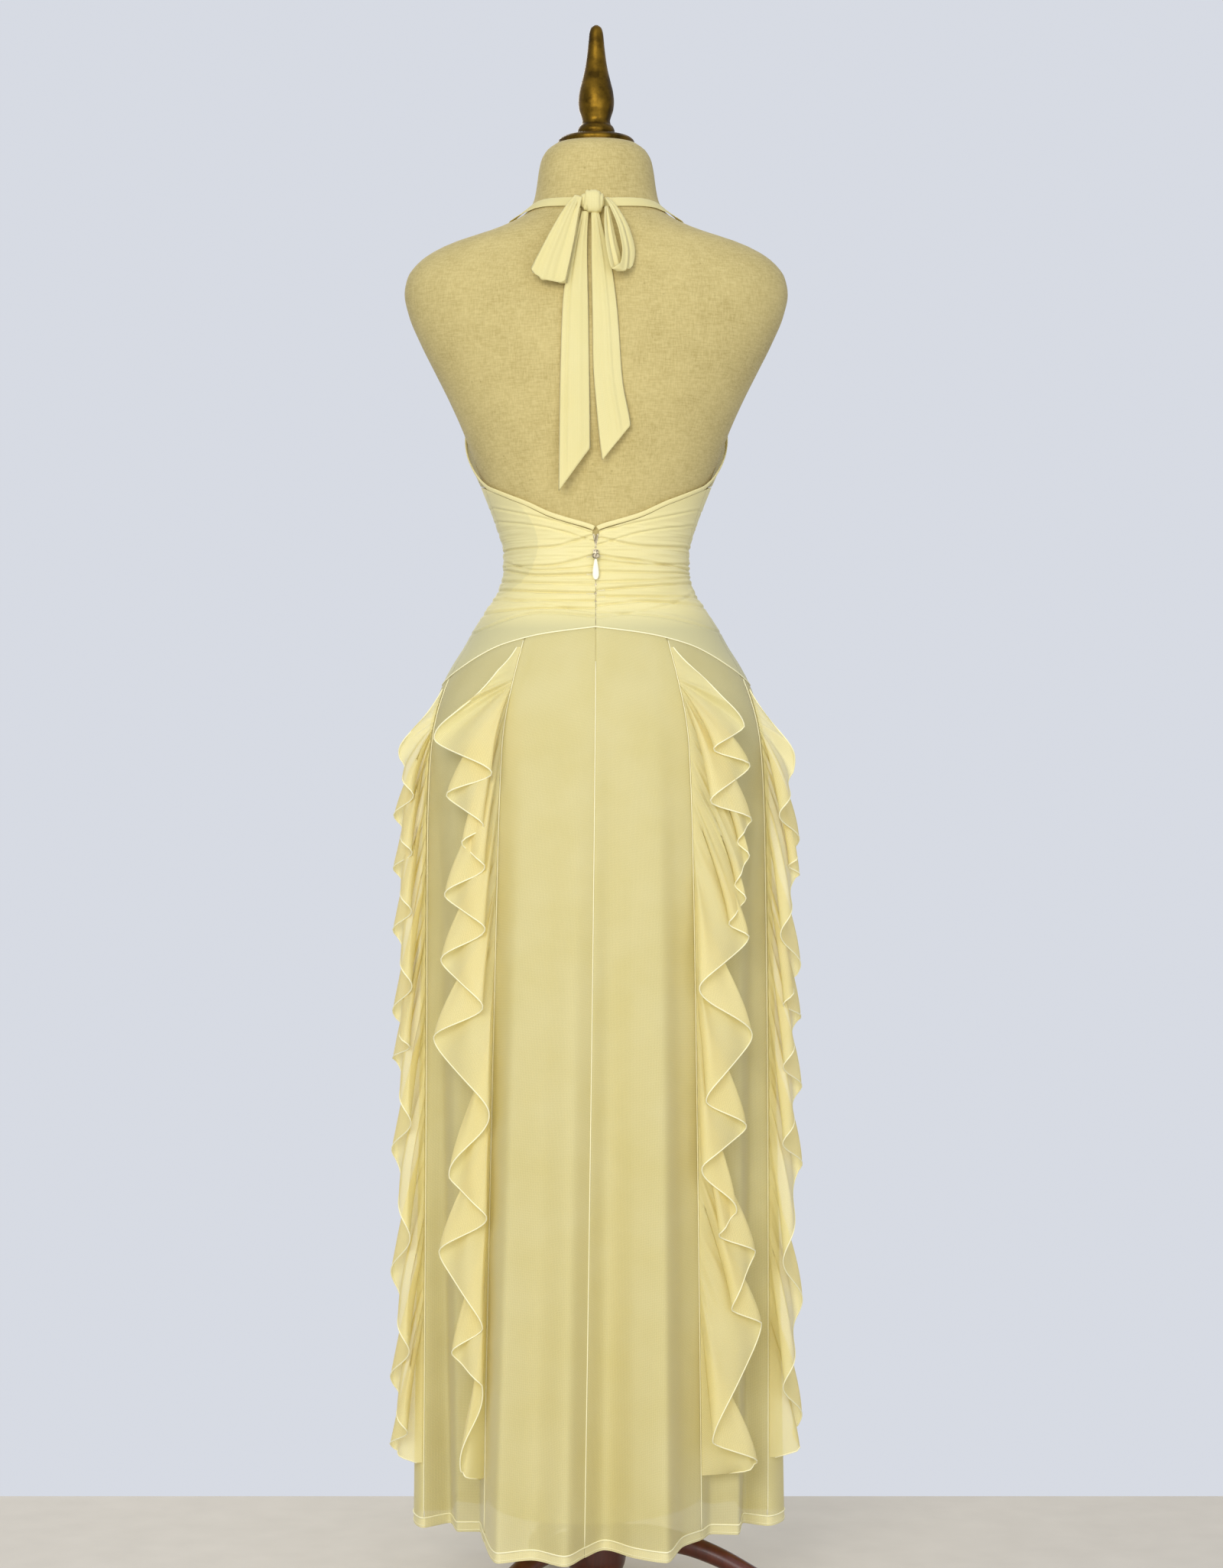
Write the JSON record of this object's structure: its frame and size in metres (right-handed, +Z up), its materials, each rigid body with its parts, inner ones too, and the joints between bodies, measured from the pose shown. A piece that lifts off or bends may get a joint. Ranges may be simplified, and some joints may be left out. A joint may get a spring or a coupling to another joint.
{
  "type": "ruffled maxi dress on a dress form",
  "caption": "Backless halter maxi dress in sheer mesh, with cascade ruffles in its seams and a bow at the nape, on a linen dress form with a wooden tripod.",
  "frame": {"origin": "on the floor, under the pole of the dress form", "axes": "+Z up, -Y out of the front of the dress, +X towards the dress's left side"},
  "size_m": [0.4202, 0.3699, 1.644],
  "materials": {
    "butter_mesh": "sheer stretch mesh, matt",
    "ruffle_mesh": "single layer of sheer stretch mesh with a rolled edge",
    "lining_knit": "fine knit, matt",
    "bow_mesh": "doubled mesh, matt",
    "form_linen": "tight plain weave",
    "gold_paint": "worn gold paint, satin",
    "dark_wood": "dark red-brown varnish",
    "zip_steel": "satin",
    "ivory_enamel": "gloss enamel",
    "zip_tape": "woven tape"
  },
  "bodies": {
    "dress_and_form": {"binding_left": "bow_mesh", "binding_right": "bow_mesh", "bodice_front_left": "butter_mesh", "bodice_front_right": "butter_mesh", "bow_knot": "bow_mesh", "bow_loop_left": "bow_mesh", "bow_loop_right": "bow_mesh", "bow_tail_left": "bow_mesh", "bow_tail_right": "bow_mesh", "finial": "gold_paint", "form_body": "form_linen", "lining": "lining_knit", "midriff_back_left": "butter_mesh", "midriff_back_right": "butter_mesh", "midriff_front": "butter_mesh", "neck_cap": "gold_paint", "neck_frill_left": "ruffle_mesh", "neck_frill_right": "ruffle_mesh", "ruffle_back_left": "ruffle_mesh", "ruffle_back_right": "ruffle_mesh", "ruffle_front_left": "ruffle_mesh", "ruffle_front_right": "ruffle_mesh", "ruffle_side_left": "ruffle_mesh", "ruffle_side_right": "ruffle_mesh", "skirt_back_left": "butter_mesh", "skirt_back_right": "butter_mesh", "skirt_front": "butter_mesh", "skirt_side_back_left": "butter_mesh", "skirt_side_back_right": "butter_mesh", "skirt_side_front_left": "butter_mesh", "skirt_side_front_right": "butter_mesh", "stand_hub": "dark_wood", "stand_leg_1": "dark_wood", "stand_leg_2": "dark_wood", "stand_leg_3": "dark_wood", "stand_pole": "dark_wood", "strap_left": "bow_mesh", "strap_right": "bow_mesh", "zip_slider": "zip_steel", "zip_tape_left": "zip_tape", "zip_tape_right": "zip_tape"},
    "pull": {"zip_ring": "zip_steel", "zip_pull": "ivory_enamel"}
  },
  "joints": [
    {"name": "pull_hinge", "type": "hinge", "parent": "dress_and_form", "child": "pull", "pos_m": [0, 0.08895, 1.0845], "axis": [1, 0, 0], "range_deg": [0, 165]}
  ]
}
